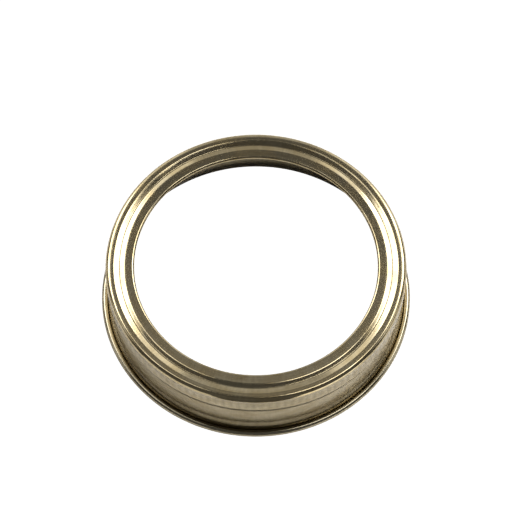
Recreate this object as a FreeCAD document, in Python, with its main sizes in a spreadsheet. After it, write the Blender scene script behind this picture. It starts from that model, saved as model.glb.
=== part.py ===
"""Screw band for a regular-mouth canning jar, pressed and rolled from one piece of tinplate.

Millimetres, +Z up.  The band stands on its rolled bottom curl: the origin is on the axis of the
ring, at the level of the surface it stands on, and the top flange is at z = height.

From the opening outwards, the sheet runs down the lip, over the inner flat, down and up the
annular groove, over the outer flat, round the shoulder, down the knurled band, in over the step,
down the threaded wall, out along the flare and round the curl.  The thread is pressed inwards:
a groove outside and a bead of the same sheet inside.
"""
import FreeCAD, Part
import Sketcher
import math
import os

NODE = "screw_band"
# How closely an edge has to lie to the ring it is looked up by, in millimetres.
MATCH = 0.001

# Driving dimensions, in millimetres and degrees: (name, value, what it is).
DIMENSIONS = [
    ("sheet", 0.25, "thickness of the tinplate"),
    ("height", 17.2, "standing surface to the top of the outer flat"),
    ("opening_radius", 28.5, "clear radius of the hole in the flange"),
    ("lip_bend", 0.55, "outer bend radius where the flange turns down into the lip"),
    ("lip_depth", 0.75, "inner flat down to the cut edge of the lip"),
    ("inner_flat_drop", 0.2, "outer flat down to the inner flat"),
    ("inner_flat_width", 2.35, "opening to the start of the groove"),
    ("groove_inner_run", 0.95, "start of the groove to its floor"),
    ("groove_floor_width", 0.275, "width of the groove's level floor"),
    ("groove_outer_run", 1.2, "groove's floor to the outer flat"),
    ("groove_depth", 0.5, "outer flat down to the groove's floor"),
    ("groove_inner_round", 1.0, "rounding from the inner flat into the groove"),
    ("groove_floor_round", 0.5, "rounding at both sides of the floor, on the sheet's underside"),
    ("groove_outer_round", 0.6, "rounding from the groove onto the outer flat"),
    ("outer_flat_width", 0.875, "groove to the start of the shoulder"),
    ("shoulder_bend", 1.1, "outer bend radius from the flange into the skirt"),
    ("step_in", 0.4, "how far the threaded wall lies inside the knurled band"),
    ("step_height", 1.6, "height of the step between the two walls"),
    ("step_round", 2.0, "outer bend radius at both ends of the step"),
    ("knurl_height", 3.6, "length of the knurl flutes, which start at the foot of the shoulder"),
    ("knurl_foot_gap", 0.4, "knurl flutes down to the step"),
    ("knurl_count", 125, "flutes round the band"),
    ("flute_radius", 0.7, "cutter radius of one flute"),
    ("flute_depth", 0.1, "depth of one flute"),
    ("curl_stand_out", 2.15, "how far the bottom curl reaches beyond the threaded wall"),
    ("curl_radius", 0.8, "outer radius of the rolled wire-like curl"),
    ("curl_sweep", 300.0, "angle that the sheet turns round the curl"),
    ("flare_angle", 14.0, "slope of the flare from the vertical"),
    ("flare_round", 3.0, "rounding where the threaded wall meets the flare"),
    ("thread_pitch", 6.35, "rise of the thread in one turn"),
    ("thread_start_angle", -26.0, "direction of the lower end, counter-clockwise from +X"),
    ("thread_depth", 0.6, "how far the groove is pressed in"),
    ("thread_width", 2.0, "width of the groove at the wall"),
    ("thread_foot_gap", 0.4, "top of the flare up to the lower end of the groove"),
    ("thread_head_gap", 0.35, "upper end of the groove up to the step"),
]

# Sizes that follow from them: (name, formula, what it is).
FOLLOWING = [
    ("groove_inner_radius", "opening_radius + inner_flat_width", "where the groove starts"),
    ("groove_floor_start", "groove_inner_radius + groove_inner_run", "where its floor starts"),
    ("groove_floor_end", "groove_floor_start + groove_floor_width", "where its floor ends"),
    ("groove_outer_radius", "groove_floor_end + groove_outer_run", "where the outer flat starts"),
    ("shoulder_radius", "groove_outer_radius + outer_flat_width", "where the shoulder starts"),
    ("knurl_band_radius", "shoulder_radius + shoulder_bend", "outside of the knurled band"),
    ("thread_wall_radius", "knurl_band_radius - step_in", "outside of the threaded wall"),
    ("curl_outer_radius", "thread_wall_radius + curl_stand_out", "outermost radius of the curl"),
    ("curl_centre_radius", "curl_outer_radius - curl_radius", "radius of the curl's middle"),
    ("knurl_top", "height - shoulder_bend", "upper end of the knurl flutes"),
    ("knurl_bottom", "knurl_top - knurl_height", "lower end of the knurl flutes"),
    ("step_top", "knurl_bottom - knurl_foot_gap", "level where the knurled band ends"),
    ("step_foot", "step_top - step_height", "level where the threaded wall starts"),
    ("roll_radius", "curl_radius - sheet", "radius of the curl's hollow side"),
    ("roll_entry_radius", "curl_centre_radius - roll_radius * cos(flare_angle * 1 deg)",
     "where the flare runs into the curl"),
    ("roll_entry_level", "curl_radius - roll_radius * sin(flare_angle * 1 deg)",
     "level of the same place"),
    ("flare_top_level",
     "roll_entry_level + (roll_entry_radius - thread_wall_radius) / tan(flare_angle * 1 deg)",
     "where the flare leaves the threaded wall"),
    ("thread_start_level", "flare_top_level + thread_foot_gap + thread_width / 2",
     "middle of the thread at its lower end"),
    ("thread_turns",
     "(step_foot - thread_head_gap - thread_width / 2 - thread_start_level) / thread_pitch",
     "length of the thread in turns"),
]

doc = FreeCAD.newDocument("screw_band_model")

dims = doc.addObject("Spreadsheet::Sheet", "dims")
for row, (name, value, meaning) in enumerate(DIMENSIONS + FOLLOWING, start=1):
    dims.set(f"A{row}", name)
    dims.set(f"B{row}", f"={value}")
    dims.set(f"C{row}", meaning)
    dims.setAlias(f"B{row}", name)
doc.recompute()


def value_of(expression):
    """The number that an expression in the sheet's names gives."""
    result = dims.evalExpression(expression)
    return float(getattr(result, "Value", result))


def origin_plane(body, role):
    """The body's own origin plane with this role."""
    for feature in body.Origin.OriginFeatures:
        if feature.Role == role:
            return feature
    raise ValueError(f"{body.Name} has no {role}")


def add_sketch(body, name, role):
    """An empty sketch on one of the body's origin planes."""
    sketch = body.newObject("Sketcher::SketchObject", name)
    sketch.AttachmentSupport = [(origin_plane(body, role), "")]
    sketch.MapMode = "FlatFace"
    return sketch


def named_constraint(sketch, name, expression, *constraint):
    """Add one dimension to a sketch, name it and bind it to an expression in the sheet."""
    index = sketch.addConstraint(Sketcher.Constraint(*constraint, value_of(expression)))
    sketch.renameConstraint(index, name)
    sketch.setExpression(f"Constraints.{name}", expression)


def draw_outline(sketch, corners, edges):
    """Draw a closed outline whose corners and radii are all bound to the sheet.

    corners: name -> (expression across, expression up)
    edges: in order round the outline, (from, None) for a straight line to the next corner, or
    (from, (radius, centre across, centre up, turns_left)) for an arc to the next corner.
    """
    at = {}
    for name, (across, up) in corners.items():
        at[name] = FreeCAD.Vector(value_of(across), value_of(up), 0)
    for index, (start_name, arc) in enumerate(edges):
        start = at[start_name]
        finish = at[edges[(index + 1) % len(edges)][0]]
        if arc is None:
            sketch.addGeometry(Part.LineSegment(start, finish))
            continue
        radius, centre_across, centre_up, turns_left = arc
        centre = FreeCAD.Vector(value_of(centre_across), value_of(centre_up), 0)
        first, last = (start, finish) if turns_left else (finish, start)
        first_angle = math.atan2(first.y - centre.y, first.x - centre.x)
        last_angle = math.atan2(last.y - centre.y, last.x - centre.x)
        if last_angle <= first_angle:
            last_angle += 2 * math.pi
        circle = Part.Circle(centre, FreeCAD.Vector(0, 0, 1), value_of(radius))
        sketch.addGeometry(Part.ArcOfCircle(circle, first_angle, last_angle))
    # Point 1 is where an element starts and point 2 where it ends; an arc that turns right is
    # stored the other way round.
    begins = [1 if arc is None or arc[3] else 2 for _, arc in edges]
    for index, (start_name, arc) in enumerate(edges):
        before = index - 1 if index else len(edges) - 1
        sketch.addConstraint(Sketcher.Constraint(
            "Coincident", before, 3 - begins[before], index, begins[index]))
        across, up = corners[start_name]
        named_constraint(sketch, f"{start_name}_across", across,
                         "DistanceX", -1, 1, index, begins[index])
        named_constraint(sketch, f"{start_name}_up", up,
                         "DistanceY", -1, 1, index, begins[index])
        if arc is not None:
            named_constraint(sketch, f"{start_name}_bend", arc[0], "Radius", index)


body = doc.addObject("PartDesign::Body", NODE)
body.Label = NODE

# ---- the rolled section ---------------------------------------------------------------------
INNER_FLAT = "dims.height - dims.inner_flat_drop"
GROOVE_FLOOR = "dims.height - dims.groove_depth"
ENTRY = "(180 + dims.flare_angle) * 1 deg"
EXIT = "(180 + dims.flare_angle + dims.curl_sweep) * 1 deg"


def on_curl(radius, angle):
    """Corner on a circle about the middle of the curl."""
    across = f"dims.curl_centre_radius + {radius} * cos({angle})"
    up = f"dims.curl_radius + {radius} * sin({angle})"
    return (across, up)


def flare_top(radius, wall):
    """Corner where the flare, which touches the circle of this radius, reaches this wall."""
    across, up = on_curl(radius, ENTRY)
    return (wall, f"{up} + ({across} - ({wall})) / tan(dims.flare_angle * 1 deg)")


SECTION_CORNERS = {
    # outside of the sheet, from the lip to the end of the curl
    "lip_edge": ("dims.opening_radius", f"{INNER_FLAT} - dims.lip_depth"),
    "lip_top": ("dims.opening_radius", f"{INNER_FLAT} - dims.lip_bend"),
    "inner_flat": ("dims.opening_radius + dims.lip_bend", INNER_FLAT),
    "groove_in": ("dims.groove_inner_radius", INNER_FLAT),
    "floor_start": ("dims.groove_floor_start", GROOVE_FLOOR),
    "floor_end": ("dims.groove_floor_end", GROOVE_FLOOR),
    "groove_out": ("dims.groove_outer_radius", "dims.height"),
    "outer_flat": ("dims.shoulder_radius", "dims.height"),
    "shoulder": ("dims.knurl_band_radius", "dims.height - dims.shoulder_bend"),
    "step_top": ("dims.knurl_band_radius", "dims.step_top"),
    "step_foot": ("dims.thread_wall_radius", "dims.step_foot"),
    "flare_top": flare_top("dims.roll_radius", "dims.thread_wall_radius"),
    "roll_entry": on_curl("dims.roll_radius", ENTRY),
    "roll_end": on_curl("dims.roll_radius", EXIT),
    # inside of the sheet, back to the lip
    "curl_end": on_curl("dims.curl_radius", EXIT),
    "curl_entry": on_curl("dims.curl_radius", ENTRY),
    "flare_top_in": flare_top("dims.curl_radius", "dims.thread_wall_radius - dims.sheet"),
    "step_foot_in": ("dims.thread_wall_radius - dims.sheet", "dims.step_foot"),
    "step_top_in": ("dims.knurl_band_radius - dims.sheet", "dims.step_top"),
    "shoulder_in": ("dims.knurl_band_radius - dims.sheet", "dims.height - dims.shoulder_bend"),
    "outer_flat_in": ("dims.shoulder_radius", "dims.height - dims.sheet"),
    "groove_out_in": ("dims.groove_outer_radius", "dims.height - dims.sheet"),
    "floor_end_in": ("dims.groove_floor_end", f"{GROOVE_FLOOR} - dims.sheet"),
    "floor_start_in": ("dims.groove_floor_start", f"{GROOVE_FLOOR} - dims.sheet"),
    "groove_in_in": ("dims.groove_inner_radius", f"{INNER_FLAT} - dims.sheet"),
    "inner_flat_in": ("dims.opening_radius + dims.lip_bend", f"{INNER_FLAT} - dims.sheet"),
    "lip_top_in": ("dims.opening_radius + dims.sheet", f"{INNER_FLAT} - dims.lip_bend"),
    "lip_edge_in": ("dims.opening_radius + dims.sheet", f"{INNER_FLAT} - dims.lip_depth"),
}

LIP_CENTRE = ("dims.opening_radius + dims.lip_bend", f"{INNER_FLAT} - dims.lip_bend")
SHOULDER_CENTRE = ("dims.shoulder_radius", "dims.height - dims.shoulder_bend")
CURL_CENTRE = ("dims.curl_centre_radius", "dims.curl_radius")

SECTION_EDGES = [
    ("lip_edge", None),
    ("lip_top", ("dims.lip_bend", *LIP_CENTRE, False)),
    ("inner_flat", None),
    ("groove_in", None),
    ("floor_start", None),
    ("floor_end", None),
    ("groove_out", None),
    ("outer_flat", ("dims.shoulder_bend", *SHOULDER_CENTRE, False)),
    ("shoulder", None),
    ("step_top", None),
    ("step_foot", None),
    ("flare_top", None),
    ("roll_entry", ("dims.roll_radius", *CURL_CENTRE, True)),
    ("roll_end", None),
    ("curl_end", ("dims.curl_radius", *CURL_CENTRE, False)),
    ("curl_entry", None),
    ("flare_top_in", None),
    ("step_foot_in", None),
    ("step_top_in", None),
    ("shoulder_in", ("dims.shoulder_bend - dims.sheet", *SHOULDER_CENTRE, True)),
    ("outer_flat_in", None),
    ("groove_out_in", None),
    ("floor_end_in", None),
    ("floor_start_in", None),
    ("groove_in_in", None),
    ("inner_flat_in", ("dims.lip_bend - dims.sheet", *LIP_CENTRE, True)),
    ("lip_top_in", None),
    ("lip_edge_in", None),
]

section = add_sketch(body, "rolled_section", "XZ_Plane")
draw_outline(section, SECTION_CORNERS, SECTION_EDGES)

rolled = body.newObject("PartDesign::Revolution", "rolled_sheet")
rolled.Profile = section
rolled.ReferenceAxis = (section, ["V_Axis"])
rolled.Angle = 360
doc.recompute()


def ring_edges(shape, rings):
    """Names of the circular edges about the axis at these (radius, level) pairs."""
    names = []
    for number, edge in enumerate(shape.Edges, start=1):
        if not isinstance(edge.Curve, Part.Circle) or len(edge.Vertexes) != 1:
            continue
        for radius, level in rings:
            same_radius = abs(edge.Curve.Radius - radius) < MATCH
            same_level = abs(edge.Curve.Center.z - level) < MATCH
            if same_radius and same_level:
                names.append(f"Edge{number}")
    if len(names) != len(rings):
        raise ValueError(f"{len(names)} ring edges found, {len(rings)} wanted")
    return names


def round_corners(name, base, corner_names, radius_expression):
    """Fillet feature on the rings that these corners of the section sweep."""
    rings = []
    for corner in corner_names:
        across, up = SECTION_CORNERS[corner]
        rings.append((value_of(across), value_of(up)))
    fillet = body.newObject("PartDesign::Fillet", name)
    fillet.Base = (base, ring_edges(base.Shape, rings))
    fillet.Radius = value_of(radius_expression)
    fillet.setExpression("Radius", radius_expression)
    doc.recompute()
    return fillet


# A bend keeps the sheet's thickness when the radius on its hollow side is one sheet less.
# (feature, corner of the section, corner on the sheet's other side, larger radius)
BENDS = [
    ("groove_inner_bend", "groove_in", "groove_in_in", "dims.groove_inner_round"),
    ("floor_start_bend", "floor_start_in", "floor_start", "dims.groove_floor_round"),
    ("floor_end_bend", "floor_end_in", "floor_end", "dims.groove_floor_round"),
    ("groove_outer_bend", "groove_out", "groove_out_in", "dims.groove_outer_round"),
    ("step_top_bend", "step_top", "step_top_in", "dims.step_round"),
    ("step_foot_bend", "step_foot_in", "step_foot", "dims.step_round"),
    ("flare_bend", "flare_top_in", "flare_top", "dims.flare_round + dims.sheet"),
]
bent = rolled
for name, round_side, hollow_side, larger in BENDS:
    bent = round_corners(f"{name}_round", bent, [round_side], larger)
    bent = round_corners(f"{name}_hollow", bent, [hollow_side], f"{larger} - dims.sheet")

# ---- thread: a bead inside and a groove outside, along the same right-hand helix -------------
# The groove is a circular segment of the stated depth and width, so its radius follows from
# them, and the bead is the same circle one sheet larger.
THREAD_ROUND = ("(dims.thread_depth ^ 2 + (dims.thread_width / 2) ^ 2)"
                " / (2 * dims.thread_depth)")
THREAD_CENTRE = f"dims.thread_wall_radius + {THREAD_ROUND} - dims.thread_depth"
END_WALL_ANGLE = "dims.sheet / dims.thread_wall_radius * 180 / pi"


def add_thread_run(name, kind, round_expression, chord_expression, lead_expression):
    """Sweep a circular segment along the thread.

    The segment lies on the axis side of a chord at the given radius.  lead_expression is the
    angle, in degrees, by which the run is longer at each end than the thread's own length.
    """
    level = f"dims.thread_start_level - dims.thread_pitch * ({lead_expression}) / 360"
    half_chord = f"sqrt(({round_expression}) ^ 2 - ({THREAD_CENTRE} - ({chord_expression})) ^ 2)"
    sketch = add_sketch(body, f"{name}_section", "XZ_Plane")
    turned = f"dims.thread_start_angle - ({lead_expression})"
    about_z = FreeCAD.Rotation(FreeCAD.Vector(0, 1, 0), value_of(turned))
    sketch.AttachmentOffset = FreeCAD.Placement(FreeCAD.Vector(), about_z)
    sketch.setExpression(".AttachmentOffset.Rotation.Angle", turned)
    draw_outline(
        sketch,
        {"low": (chord_expression, f"{level} - {half_chord}"),
         "high": (chord_expression, f"{level} + {half_chord}")},
        [("low", None), ("high", (round_expression, THREAD_CENTRE, level, True))])
    run = body.newObject(kind, name)
    run.Profile = sketch
    run.ReferenceAxis = (sketch, ["V_Axis"])
    run.Mode = "pitch-turns-angle"
    run.Pitch = value_of("dims.thread_pitch")
    run.setExpression("Pitch", "dims.thread_pitch")
    turns = f"dims.thread_turns + 2 * ({lead_expression}) / 360"
    run.Turns = value_of(turns)
    run.setExpression("Turns", turns)
    run.LeftHanded = False
    run.Reversed = False
    doc.recompute()
    return run


bead = add_thread_run(
    "thread_bead", "PartDesign::AdditiveHelix", f"{THREAD_ROUND} + dims.sheet",
    "dims.thread_wall_radius - dims.sheet / 2", END_WALL_ANGLE)
groove = add_thread_run(
    "thread_groove", "PartDesign::SubtractiveHelix", THREAD_ROUND,
    "dims.thread_wall_radius + dims.sheet / 2", "0")

# ---- knurling: one flute cut down the outside of the band, repeated round the axis ----------
FLUTE_CENTRE = "dims.knurl_band_radius + dims.flute_radius - dims.flute_depth"
flute_sketch = add_sketch(body, "flute_section", "XY_Plane")
flute_sketch.setExpression(".AttachmentOffset.Base.z", "dims.knurl_top")
flute_sketch.addGeometry(Part.Circle(
    FreeCAD.Vector(value_of(FLUTE_CENTRE), 0, 0), FreeCAD.Vector(0, 0, 1),
    value_of("dims.flute_radius")))
named_constraint(flute_sketch, "flute_cutter", "dims.flute_radius", "Radius", 0)
named_constraint(flute_sketch, "flute_across", FLUTE_CENTRE, "DistanceX", -1, 1, 0, 3)
flute_sketch.addConstraint(Sketcher.Constraint("PointOnObject", 0, 3, -1))

flute = body.newObject("PartDesign::Pocket", "flute")
flute.Profile = flute_sketch
flute.Type = 0
flute.Length = value_of("dims.knurl_top - dims.knurl_bottom")
flute.setExpression("Length", "dims.knurl_top - dims.knurl_bottom")
doc.recompute()

knurling = body.newObject("PartDesign::PolarPattern", "knurling")
knurling.Originals = [flute]
knurling.Axis = (flute_sketch, ["N_Axis"])
knurling.Angle = 360
knurling.Occurrences = int(value_of("dims.knurl_count"))
knurling.setExpression("Occurrences", "dims.knurl_count")
body.Tip = knurling
doc.recompute()


# ---- checks and hand-out ----------------------------------------------------------------------
# Each step has to change the volume the way it should: a cut takes metal away, the bead adds it.
STEPS = [
    (bent, bead, 1),
    (bead, groove, -1),
    (groove, flute, -1),
    (flute, knurling, -1),
]
for before, after, sign in STEPS:
    change = after.Shape.Volume - before.Shape.Volume
    if change * sign <= 0:
        raise ValueError(f"{after.Name} changed the volume by {change:.3f}")

for item in doc.Objects:
    if "Invalid" in item.State or "Error" in item.State:
        raise ValueError(f"{item.Name} failed: {item.State}")
if body.Shape.isNull() or not body.Shape.isValid():
    raise ValueError(f"{body.Label} has no valid shape")
if len(body.Shape.Solids) != 1:
    raise ValueError(f"{body.Label} is not one solid")

os.makedirs("parts", exist_ok=True)
body.Shape.exportStep(f"parts/{body.Label}.step")
print(f"{body.Label}: {body.Shape.Volume:.1f} mm3")
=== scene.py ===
"""Screw band of a canning jar: gold-lacquered tinplate, pressed, knurled, threaded and curled."""
import math

import bpy
import numpy as np
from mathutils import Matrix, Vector


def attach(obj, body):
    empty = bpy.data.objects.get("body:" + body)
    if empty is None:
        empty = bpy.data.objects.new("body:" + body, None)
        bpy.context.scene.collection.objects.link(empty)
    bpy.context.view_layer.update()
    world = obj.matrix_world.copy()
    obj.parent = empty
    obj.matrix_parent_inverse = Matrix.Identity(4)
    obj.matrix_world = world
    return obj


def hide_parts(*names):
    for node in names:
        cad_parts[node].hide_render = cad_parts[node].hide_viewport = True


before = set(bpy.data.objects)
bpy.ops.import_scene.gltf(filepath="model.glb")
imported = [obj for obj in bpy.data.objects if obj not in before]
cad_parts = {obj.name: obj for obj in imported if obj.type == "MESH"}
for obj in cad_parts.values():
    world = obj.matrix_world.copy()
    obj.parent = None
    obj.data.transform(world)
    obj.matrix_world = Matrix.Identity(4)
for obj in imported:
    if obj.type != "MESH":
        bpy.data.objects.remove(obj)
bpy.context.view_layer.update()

MM = 0.001

# ---- the band's section, in millimetres -------------------------------------------------------
SHEET = 0.25
HEIGHT = 17.2
OPENING_RADIUS = 28.5
LIP_BEND = 0.55
LIP_DEPTH = 0.75
INNER_FLAT_DROP = 0.2
GROOVE_INNER_RADIUS = 30.85
GROOVE_FLOOR_START = 31.8
GROOVE_FLOOR_END = 32.075
GROOVE_OUTER_RADIUS = 33.275
GROOVE_DEPTH = 0.5
GROOVE_INNER_ROUND = 1.0
GROOVE_FLOOR_ROUND = 0.5
GROOVE_OUTER_ROUND = 0.6
SHOULDER_BEND = 1.1
KNURL_BAND_RADIUS = 35.25
THREAD_WALL_RADIUS = 34.85
STEP_TOP = 12.1
STEP_HEIGHT = 1.6
STEP_ROUND = 2.0
CURL_OUTER_RADIUS = 37.0
CURL_RADIUS = 0.8
CURL_SWEEP = 300.0
FLARE_ANGLE = 14.0
FLARE_ROUND = 3.0

# ---- knurling and thread ----------------------------------------------------------------------
KNURL_BOTTOM = 12.5
KNURL_TOP = 16.1
KNURL_COUNT = 125
KNURL_DEPTH = 0.14
KNURL_FADE = 0.5
THREAD_PITCH = 6.35
THREAD_TURNS = 0.6
THREAD_START_LEVEL = 5.34
THREAD_START_ANGLE = -26.0
THREAD_DEPTH = 0.6
THREAD_WIDTH = 2.2
THREAD_RUN_OUT = 18.0

# ---- how finely the surface is divided --------------------------------------------------------
COLUMNS = 4 * KNURL_COUNT
LINE_STEP = 0.56
ARC_STEP = math.radians(12)
FEWEST_STEPS = 2
SUPPORT_STEP = 0.02
CURL_STEPS = 17
EDGE_STEPS = 4

# ---- lacquer ----------------------------------------------------------------------------------
THIN_LACQUER = "#BDAF8E"
THICK_LACQUER = "#AE9D77"
# worn lacquer, also the colour of the painted shade
WORN_AND_SHADED_LACQUER = "#5C5138"
CLEAR_LACQUER = "#B3A98F"
COAT_WEIGHT = 0.25
COAT_ROUGHNESS = 0.1
# marks in the coat: length round the ring and width across it in millimetres, and noise detail
ROLLING_LINES = (40.0, 0.3, 3.0)
PRESS_TICKS = (0.45, 2.4, 3.0)
COAT_CLOUDS = (5.0, 2.5, 2.0)
SCUFFS = (0.5, 0.35, 3.0)
MARK_RADIUS = 31.8
# noise values between which a mark comes up from nothing to full
MARK_EDGES = (0.35, 0.7)
THICK_COAT_EDGES = (0.35, 0.65)
DULL_COAT_EDGES = (0.3, 0.7)
SCUFF_EDGES = (0.66, 0.76)
# share of dark lacquer that each mark adds: wear along the press ticks and rolling lines, painted
# shade in the knurl hollows, along the step's bend and on the flare above the curl
TICK_WEAR = 0.16
LINE_WEAR = 0.12
HOLLOW_SHADE = 0.28
STEP_SHADE = 0.55
FLARE_SHADE = 0.75
# levels on the flare where the painted shade above the curl begins, is full and ends
SHADE_FOOT = 1.3
SHADE_FULL = 2.5
SHADE_TOP = 5.6
# roughness of the coat, and what scuffs and the rolled skirt add to it
BRIGHT_ROUGHNESS = 0.1
DULL_ROUGHNESS = 0.16
SCUFF_ROUGHNESS = 0.1
OUTER_SKIRT_ROUGHNESS = 0.18
INNER_SKIRT_ROUGHNESS = 0.34
# height of the rolling lines, the ticks' share of it, and how strongly it shows
RELIEF = 0.016
TICK_RELIEF = 0.08
SKIRT_BUMP = 0.06
FLANGE_BUMP = 0.5

# ---- studio, in metres ------------------------------------------------------------------------
PAPER_COLOUR = "#C8C8C6"
PAPER_GLOW = 0.97
TABLE_COLOUR = "#C4C2BE"
GLOW_COLOUR = "#FFFFFF"
MATT_ROUGHNESS = 0.9
MATT_SPECULAR = 0.1
GROUND_REACH = 3
TABLE_FRONT = -0.05
TABLE_BACK = 1
# how far back a direction points, from -1 in front to 1 behind, and the room's brightness there
ROOM = [
    (-0.97, 0.12), (-0.85, 0.14), (-0.5, 0.13), (-0.32, 0.1), (0.2, 0.1), (0.38, 0.36),
    (0.42, 0.34), (0.5, 0.1), (0.56, 0.16), (0.66, 0.75), (0.9, 0.55), (1.0, 0.75),
]
# name, place, width and height, brightness of the face
SOFTBOXES = [
    ("left_softbox", (-0.47, 0.47, 0.75), (0.5, 0.5), 4.8),
    ("right_softbox", (0.47, 0.47, 0.75), (0.5, 0.5), 5.4),
    ("left_card", (-0.46, 0.75, 0.42), (0.5, 0.5), 0.9),
    ("right_card", (0.46, 0.75, 0.42), (0.5, 0.5), 1.0),
    ("left_strip", (-0.29, 0.1, 1.0), (0.2, 0.3), 1.8),
    ("right_strip", (0.24, 0.06, 1.0), (0.2, 0.3), 4.2),
    ("left_overhead_card", (-0.47, 0.2, 1.0), (0.2, 0.4), 1.0),
    ("right_overhead_card", (0.45, 0.2, 1.0), (0.2, 0.4), 1.4),
    ("left_side_card", (-0.94, 0.02, 0.5), (0.35, 0.6), 0.75),
    ("right_side_card", (0.94, 0.02, 0.5), (0.35, 0.6), 1.0),
    ("left_front_card", (-0.74, -0.71, -0.34), (0.85, 0.8), 1.0),
    ("right_front_card", (0.74, -0.71, -0.34), (0.85, 0.8), 1.9),
]
# Lights the table from above, and the metal doesn't mirror it.
FILL = ("overhead_fill", (0.42, -0.05, 1.2), (0.5, 0.5), 21.5)

# ---- camera: degrees above level, then millimetres --------------------------------------------
CAMERA_ELEVATION = 62.52
CAMERA_DISTANCE = 529.5
# The camera aims this far above the middle of the band's foot, at right angles to its view.
CAMERA_AIM = 9.51
CAMERA_LENS = 154.7
CAMERA_SENSOR = 36
CAMERA_NEAREST = 10


def bent_path(corners, arc_step, line_step):
    """Stations along a bent strip: straight runs joined by tangent arcs at the corners.

    corners is a list of (across, up, bend radius).  An arc at a corner of turn t and radius b
    starts b * tan(t / 2) before the corner and ends as far after it.  A run's first station lies a
    support step past the arc before it, so that the run is shaded flat.  Returns across, up and
    heading arrays; the heading stays the same along a run and turns evenly along an arc.
    """
    rows = []
    points = [np.array(corner[:2], float) for corner in corners]
    position = points[0]
    for index in range(1, len(points)):
        run = points[index] - points[index - 1]
        heading = math.atan2(run[1], run[0])
        along = np.array([math.cos(heading), math.sin(heading)])
        stop = points[index]
        turn = 0.0
        if index < len(points) - 1:
            onward = points[index + 1] - points[index]
            turn = math.remainder(math.atan2(onward[1], onward[0]) - heading, 2 * math.pi)
            stop = points[index] - along * corners[index][2] * math.tan(abs(turn) / 2)
        count = max(1, math.ceil(np.linalg.norm(stop - position) / line_step))
        share = np.linspace(0, 1, count + 1)[:, None]
        if index > 1:
            share[0] = SUPPORT_STEP / np.linalg.norm(stop - position)
        straight = position + (stop - position) * share
        rows.append(np.column_stack([straight, np.full(count + 1, heading)]))
        position = stop
        if turn:
            bend = corners[index][2]
            side = math.copysign(1, turn)
            centre = stop + side * bend * np.array([-along[1], along[0]])
            steps = max(FEWEST_STEPS, math.ceil(abs(turn) / arc_step))
            headings = heading + turn * np.linspace(0, 1, steps + 1)[1:]
            arc = centre - side * bend * np.column_stack([-np.sin(headings), np.cos(headings)])
            rows.append(np.column_stack([arc, headings]))
            position = arc[-1]
    return np.concatenate(rows)


def curl_path(start_angle, sweep, steps):
    """Stations round the curl: a circle of the sheet's middle line about the curl's centre."""
    angles = np.radians(start_angle + sweep * np.linspace(0, 1, steps + 1)[1:])
    radius = CURL_RADIUS - SHEET / 2
    across = CURL_OUTER_RADIUS - CURL_RADIUS + radius * np.cos(angles)
    up = CURL_RADIUS + radius * np.sin(angles)
    return np.column_stack([across, up, angles + math.pi / 2])


def section_path():
    """Middle line of the sheet from the lip's cut edge to the end of the curl."""
    half = SHEET / 2
    inner_flat = HEIGHT - INNER_FLAT_DROP
    entry = math.radians(180 + FLARE_ANGLE)
    entry_across = CURL_OUTER_RADIUS - CURL_RADIUS + (CURL_RADIUS - half) * math.cos(entry)
    entry_up = CURL_RADIUS + (CURL_RADIUS - half) * math.sin(entry)
    wall = THREAD_WALL_RADIUS - half
    flare_top = entry_up + (entry_across - wall) / math.tan(math.radians(FLARE_ANGLE))
    corners = [
        (OPENING_RADIUS + half, inner_flat - LIP_DEPTH + half, 0),
        (OPENING_RADIUS + half, inner_flat - half, LIP_BEND - half),
        (GROOVE_INNER_RADIUS, inner_flat - half, GROOVE_INNER_ROUND - half),
        (GROOVE_FLOOR_START, HEIGHT - GROOVE_DEPTH - half, GROOVE_FLOOR_ROUND - half),
        (GROOVE_FLOOR_END, HEIGHT - GROOVE_DEPTH - half, GROOVE_FLOOR_ROUND - half),
        (GROOVE_OUTER_RADIUS, HEIGHT - half, GROOVE_OUTER_ROUND - half),
        (KNURL_BAND_RADIUS - half, HEIGHT - half, SHOULDER_BEND - half),
        (KNURL_BAND_RADIUS - half, STEP_TOP, STEP_ROUND - half),
        (wall, STEP_TOP - STEP_HEIGHT, STEP_ROUND - half),
        (wall, flare_top, FLARE_ROUND + half),
        (entry_across, entry_up, 0),
    ]
    strip = bent_path(corners, ARC_STEP, LINE_STEP)
    curl = curl_path(180 + FLARE_ANGLE, CURL_SWEEP, CURL_STEPS)
    return np.concatenate([strip, curl])


def smooth_step(value):
    """0 below 0, 1 above 1, and 3v^2 - 2v^3 between."""
    v = np.clip(value, 0, 1)
    return v * v * (3 - 2 * v)


def pressed_in(angle, up):
    """How far the thread is pressed towards the axis, at an angle in degrees and a level.

    The middle of the thread climbs one pitch a turn from its start.  Across the thread the depth
    falls off as half a cosine wave, and along it the two ends fade out over the run-out.
    """
    turned = np.mod(angle - THREAD_START_ANGLE, 360)
    length = 360 * THREAD_TURNS
    middle = THREAD_START_LEVEL + THREAD_PITCH * turned / 360
    across = np.clip((up - middle) / (THREAD_WIDTH / 2), -1, 1)
    fade = smooth_step(turned / THREAD_RUN_OUT) * smooth_step((length - turned) / THREAD_RUN_OUT)
    return THREAD_DEPTH * fade * 0.5 * (1 + np.cos(math.pi * across))


def knurled_in(angle, up):
    """Share of the knurling's depth, 0 on a rib and 1 in a hollow: (1 - cosine) / 2 round the band.

    The hollows fade out at both ends.
    """
    fade = smooth_step((up - KNURL_BOTTOM) / KNURL_FADE) * smooth_step((KNURL_TOP - up) / KNURL_FADE)
    return fade * (1 - np.cos(np.radians(angle) * KNURL_COUNT)) / 2


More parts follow.
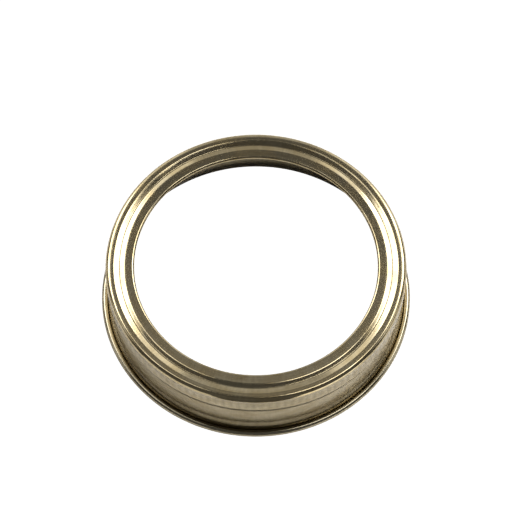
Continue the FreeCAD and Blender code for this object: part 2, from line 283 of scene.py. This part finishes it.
def band_grid():
    """The closed surface: both faces of the sheet, joined round its two edges, swept once round.

    Each station of the middle line gives a point on either face, half a sheet to its left and
    right.  The edges are half circles.  The thread and the knurling move both faces radially.
    Returns the points and two marks for the material: how deep in a knurl hollow each point is,
    and 1 on the sheet's inner face, which the curl turns outwards.
    """
    path = section_path()
    half = SHEET / 2
    left = np.column_stack([-np.sin(path[:, 2]), np.cos(path[:, 2])])
    outside = path[:, :2] + half * left
    inside = path[:, :2] - half * left
    turn = np.radians(np.linspace(90, -90, EDGE_STEPS + 1)[1:-1])[:, None]

    def edge(station, heading, backwards):
        """Half circle round a cut edge, from one face of the sheet to the other."""
        spread = turn + heading + (math.pi if backwards else 0)
        return station + half * np.column_stack([np.cos(spread), np.sin(spread)])

    end_edge = edge(path[-1, :2], path[-1, 2], False)
    start_edge = edge(path[0, :2], path[0, 2], True)
    rim = np.concatenate([outside, end_edge, inside[::-1], start_edge])
    inner = np.arange(len(rim)) >= len(outside)
    level = np.concatenate([
        path[:, 1], np.full(len(end_edge), path[-1, 1]),
        path[::-1, 1], np.full(len(start_edge), path[0, 1])])
    angle = 360 * np.arange(COLUMNS) / COLUMNS
    skirt = rim[:, :1] > GROOVE_OUTER_RADIUS
    hollow = knurled_in(angle[None, :], level[:, None]) * skirt
    radius = rim[:, :1] - KNURL_DEPTH * hollow - pressed_in(angle[None, :], level[:, None]) * skirt
    theta = np.radians(angle)[None, :]
    points = np.stack([
        radius * np.cos(theta), radius * np.sin(theta), np.broadcast_to(rim[:, 1:], radius.shape)],
        axis=-1) * MM
    marks = {"hollow": hollow, "inner": np.broadcast_to(inner[:, None], hollow.shape)}
    return points, marks


def ring_mesh(name, grid, marks):
    """Mesh of a grid of points that closes on itself both ways, with faces turned outwards.

    marks is kept on the points for the material: name -> one number a point.
    """
    rows, columns = grid.shape[:2]
    row, column = np.meshgrid(np.arange(rows), np.arange(columns), indexing="ij")
    next_row = (row + 1) % rows
    next_column = (column + 1) % columns
    faces = np.stack([
        row * columns + column, next_row * columns + column,
        next_row * columns + next_column, row * columns + next_column], axis=-1).reshape(-1, 4)
    mesh = bpy.data.meshes.new(name)
    mesh.vertices.add(rows * columns)
    mesh.vertices.foreach_set("co", grid.reshape(-1).astype(np.float32))
    mesh.loops.add(faces.size)
    mesh.loops.foreach_set("vertex_index", faces.reshape(-1).astype(np.int32))
    mesh.polygons.add(len(faces))
    mesh.polygons.foreach_set("loop_start", np.arange(0, faces.size, 4, dtype=np.int32))
    mesh.polygons.foreach_set("use_smooth", np.ones(len(faces), dtype=bool))
    for mark, values in marks.items():
        attribute = mesh.attributes.new(mark, "FLOAT", "POINT")
        attribute.data.foreach_set("value", values.reshape(-1).astype(np.float32))
    mesh.update()
    mesh.validate()
    return mesh


def new_piece(name, mesh, material):
    """Object at the origin that shows a mesh in a material."""
    piece = bpy.data.objects.new(name, mesh)
    bpy.context.scene.collection.objects.link(piece)
    piece.data.materials.append(material)
    return piece


# ---- materials --------------------------------------------------------------------------------
def linear(hex_colour):
    """sRGB hex colour as linear red, green, blue and full alpha."""
    parts = [int(hex_colour[i:i + 2], 16) / 255 for i in (1, 3, 5)]
    return [p / 12.92 if p <= 0.04045 else ((p + 0.055) / 1.055) ** 2.4 for p in parts] + [1.0]


def node(tree, kind, inputs=(), **settings):
    """Add a node, set its properties and feed its inputs, given by place in a list or by name.

    An input given a socket is linked to it, and one given a node to that node's first live
    output.  Anything else is the input's value.
    """
    made = tree.nodes.new("ShaderNode" + kind)
    for key, value in settings.items():
        setattr(made, key, value)
    for key, value in inputs.items() if isinstance(inputs, dict) else enumerate(inputs):
        if isinstance(value, bpy.types.Node):
            value = next(socket for socket in value.outputs if socket.enabled)
        if isinstance(value, bpy.types.NodeSocket):
            tree.links.new(value, made.inputs[key])
        else:
            made.inputs[key].default_value = value
    return made


def new_material(name):
    """Empty node material and its tree."""
    material = bpy.data.materials.new(name)
    material.use_nodes = True
    material.node_tree.nodes.clear()
    return material, material.node_tree


def ring_noise(tree, around, across, detail):
    """Seamless noise drawn out round the ring.

    around is the length of a mark along the circumference and across its width, both in
    millimetres.  The noise is read at (x / r * k, y / r * k, (r + z) / across), where r is the
    distance from the axis and k is MARK_RADIUS over the length of a mark.
    """
    place = node(tree, "TexCoord").outputs["Object"]
    x, y, z = node(tree, "SeparateXYZ", [place]).outputs
    x_squared = node(tree, "Math", [x, x], operation="MULTIPLY")
    y_squared = node(tree, "Math", [y, y], operation="MULTIPLY")
    squares = node(tree, "Math", [x_squared, y_squared], operation="ADD")
    radius = node(tree, "Math", [squares], operation="SQRT")
    read_at = []
    for side in (x, y):
        direction = node(tree, "Math", [side, radius], operation="DIVIDE")
        read_at.append(node(tree, "Math", [direction, MARK_RADIUS / around], operation="MULTIPLY"))
    run = node(tree, "Math", [radius, z], operation="ADD")
    read_at.append(node(tree, "Math", [run, across * MM], operation="DIVIDE"))
    where = node(tree, "CombineXYZ", read_at)
    return node(tree, "TexNoise", {"Vector": where, "Scale": 1.0, "Detail": detail})


def gold_lacquered_tinplate():
    """Rolled steel sheet, tinned and roller-coated with gold lacquer, then spun and pressed.

    Fine rolling lines run round the ring, short radial press ticks lie across them, and the
    lacquer is a little thicker and duller in places.  The sheet's inner face has a paler coat,
    which shows inside the skirt and on the curl, because that is rolled outwards.
    """
    material, tree = new_material("gold_lacquered_tinplate")
    lines = ring_noise(tree, *ROLLING_LINES)
    ticks = ring_noise(tree, *PRESS_TICKS)
    clouds = ring_noise(tree, *COAT_CLOUDS)
    scuffs = ring_noise(tree, *SCUFFS)
    place = node(tree, "TexCoord").outputs["Object"]
    level = node(tree, "SeparateXYZ", [place]).outputs["Z"]
    hollow = node(tree, "Attribute", attribute_name="hollow").outputs["Fac"]
    inner = node(tree, "Attribute", attribute_name="inner").outputs["Fac"]

    thick = node(tree, "MapRange", [clouds, *THICK_COAT_EDGES, 0.0, 1.0])
    lacquer = node(tree, "Mix", {
        "Factor": thick, "A": linear(THIN_LACQUER), "B": linear(THICK_LACQUER)}, data_type="RGBA")
    finish = node(tree, "Mix", {
        "Factor": inner, "A": lacquer, "B": linear(CLEAR_LACQUER)}, data_type="RGBA")

    # The lacquer is darker along the ticks and rolling lines as wear, and painted shade darkens the
    # knurl hollows, the step's bend and the flare above the curl.
    step_middle = (STEP_TOP - STEP_HEIGHT / 2) * MM
    above_step = node(tree, "Math", [level, step_middle], operation="SUBTRACT")
    off_step = node(tree, "Math", [above_step], operation="ABSOLUTE")
    # painted shade on the flare, darkest just above the curl
    shade_foot = node(tree, "MapRange", [level, SHADE_FOOT * MM, SHADE_FULL * MM, 0.0, 1.0])
    shade_top = node(tree, "MapRange", [level, SHADE_FULL * MM, SHADE_TOP * MM, FLARE_SHADE, 0.0])
    wear_and_shade = node(tree, "MapRange", [ticks, *MARK_EDGES, 0.0, TICK_WEAR])
    for share in (
            node(tree, "MapRange", [lines, *MARK_EDGES, 0.0, LINE_WEAR]),
            # painted shade in the knurl hollows
            node(tree, "Math", [hollow, HOLLOW_SHADE], operation="MULTIPLY"),
            # painted shade along the step's bend
            node(tree, "MapRange", [off_step, 0.0, STEP_HEIGHT / 2 * MM, STEP_SHADE, 0.0]),
            node(tree, "Math", [shade_foot, shade_top], operation="MULTIPLY")):
        wear_and_shade = node(tree, "Math", [wear_and_shade, share], operation="ADD")
    worn_and_shaded = node(tree, "Mix", {
        "Factor": wear_and_shade, "A": finish, "B": linear(WORN_AND_SHADED_LACQUER)}, data_type="RGBA")

    # The rolled skirt, between curl and shoulder, is smoother but duller than the pressed flange.
    curl_top = 2 * CURL_RADIUS
    above_curl = node(tree, "MapRange", [
        level, curl_top * MM, (curl_top + FLARE_ROUND) * MM, 0.0, 1.0])
    below_shoulder = node(tree, "MapRange", [
        level, (KNURL_TOP - SHOULDER_BEND) * MM, KNURL_TOP * MM, 1.0, 0.0])
    skirt = node(tree, "Math", [above_curl, below_shoulder], operation="MULTIPLY")
    duller = node(tree, "MapRange", [
        inner, 0.0, 1.0, OUTER_SKIRT_ROUGHNESS, INNER_SKIRT_ROUGHNESS])
    roughness = node(tree, "MapRange", [
        clouds, *DULL_COAT_EDGES, BRIGHT_ROUGHNESS, DULL_ROUGHNESS])
    for share in (
            node(tree, "MapRange", [scuffs, *SCUFF_EDGES, 0.0, SCUFF_ROUGHNESS]),
            node(tree, "Math", [skirt, duller], operation="MULTIPLY")):
        roughness = node(tree, "Math", [roughness, share], operation="ADD")
    low_ticks = node(tree, "Math", [ticks, TICK_RELIEF], operation="MULTIPLY")
    relief = node(tree, "Math", [low_ticks, lines], operation="ADD")
    strength = node(tree, "MapRange", [
        level, KNURL_BOTTOM * MM, KNURL_TOP * MM, SKIRT_BUMP, FLANGE_BUMP])
    bump = node(tree, "Bump", {"Height": relief, "Strength": strength, "Distance": RELIEF * MM})

    shader = node(tree, "BsdfPrincipled", {
        "Base Color": worn_and_shaded,
        "Metallic": 1.0,
        "Roughness": roughness,
        "Normal": bump,
        "Coat Weight": COAT_WEIGHT,
        "Coat Roughness": COAT_ROUGHNESS,
    })
    node(tree, "OutputMaterial", {"Surface": shader})
    return material


def matt_sheet(name, colour, glow):
    """Matt sheet, lit from behind when glow is above 0."""
    material, tree = new_material(name)
    shader = node(tree, "BsdfPrincipled", {
        "Base Color": linear(colour),
        "Roughness": MATT_ROUGHNESS,
        "Specular IOR Level": MATT_SPECULAR,
        "Emission Color": linear(GLOW_COLOUR),
        "Emission Strength": glow,
    })
    node(tree, "OutputMaterial", {"Surface": shader})
    return material


# ---- studio -----------------------------------------------------------------------------------
def ground(name, material, front, back):
    """Wide level sheet under the band from front to back."""
    corners = [
        (-GROUND_REACH, front, 0), (GROUND_REACH, front, 0),
        (GROUND_REACH, back, 0), (-GROUND_REACH, back, 0)]
    mesh = bpy.data.meshes.new(name)
    mesh.from_pydata(corners, [], [(0, 1, 2, 3)])
    sheet = new_piece(name, mesh, material)
    return sheet


def softbox(name, position, size, brightness):
    """Rectangular softbox that faces the band; brightness is that of its face."""
    data = bpy.data.lights.new(name, "AREA")
    data.shape = "RECTANGLE"
    data.size, data.size_y = size
    data.energy = brightness * math.pi * size[0] * size[1]
    lamp = bpy.data.objects.new(name, data)
    lamp.location = position
    lamp.rotation_euler = (-Vector(position)).to_track_quat("-Z", "Y").to_euler()
    bpy.context.scene.collection.objects.link(lamp)
    return lamp


def room():
    """Dim room round the softboxes, which changes from front to back as ROOM says."""
    world = bpy.data.worlds.new("studio")
    world.use_nodes = True
    tree = world.node_tree
    tree.nodes.clear()
    direction = node(tree, "TexCoord").outputs["Generated"]
    depth_back = node(tree, "SeparateXYZ", [direction]).outputs["Y"]
    ramp = node(tree, "ValToRGB", [node(tree, "MapRange", [depth_back, -1.0, 1.0, 0.0, 1.0])])
    stops = ramp.color_ramp.elements
    for index, (depth, bright) in enumerate(ROOM):
        stop = stops[index] if index < 2 else stops.new(1)
        stop.position = (depth + 1) / 2
        stop.color = (bright, bright, bright, 1)
    glow = node(tree, "Background", {"Color": ramp, "Strength": 1.0})
    node(tree, "OutputWorld", {"Surface": glow})
    bpy.context.scene.world = world


def camera():
    """Long lens that looks down on the band from in front."""
    elevation = math.radians(CAMERA_ELEVATION)
    above_view = Vector((0, math.sin(elevation), math.cos(elevation)))
    to_camera = Vector((0, -math.cos(elevation), math.sin(elevation)))
    data = bpy.data.cameras.new("camera")
    data.lens = CAMERA_LENS
    data.sensor_width = CAMERA_SENSOR
    data.clip_start = CAMERA_NEAREST * MM
    eye = bpy.data.objects.new("camera", data)
    eye.location = CAMERA_AIM * MM * above_view + CAMERA_DISTANCE * MM * to_camera
    eye.rotation_euler = (math.pi / 2 - elevation, 0, 0)
    bpy.context.scene.collection.objects.link(eye)
    bpy.context.scene.camera = eye


def studio():
    """Backlit paper and a grey table, softboxes, cards and strips, a fill light and a dim room.

    The paper is what the camera sees.  The grey table takes its place in the metal's mirror
    images, as the bench beside a light table would.
    """
    room()
    paper_sheet = matt_sheet("backlit_paper", PAPER_COLOUR, PAPER_GLOW)
    paper = ground("backlit_paper", paper_sheet, -GROUND_REACH, GROUND_REACH)
    paper.visible_glossy = False
    paper.visible_diffuse = False
    paper.visible_shadow = False
    table_top = matt_sheet("grey_table", TABLE_COLOUR, 0.0)
    ground("grey_table", table_top, TABLE_FRONT, TABLE_BACK).visible_camera = False
    for box in SOFTBOXES:
        softbox(*box)
    softbox(*FILL).visible_glossy = False
    camera()
    bpy.context.scene.view_settings.view_transform = "Standard"


def build_band():
    """The band, in place of its CAD node."""
    mesh = ring_mesh("tinplate_band", *band_grid())
    band = new_piece("tinplate_band", mesh, gold_lacquered_tinplate())
    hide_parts("screw_band")
    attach(band, "root")


build_band()
studio()
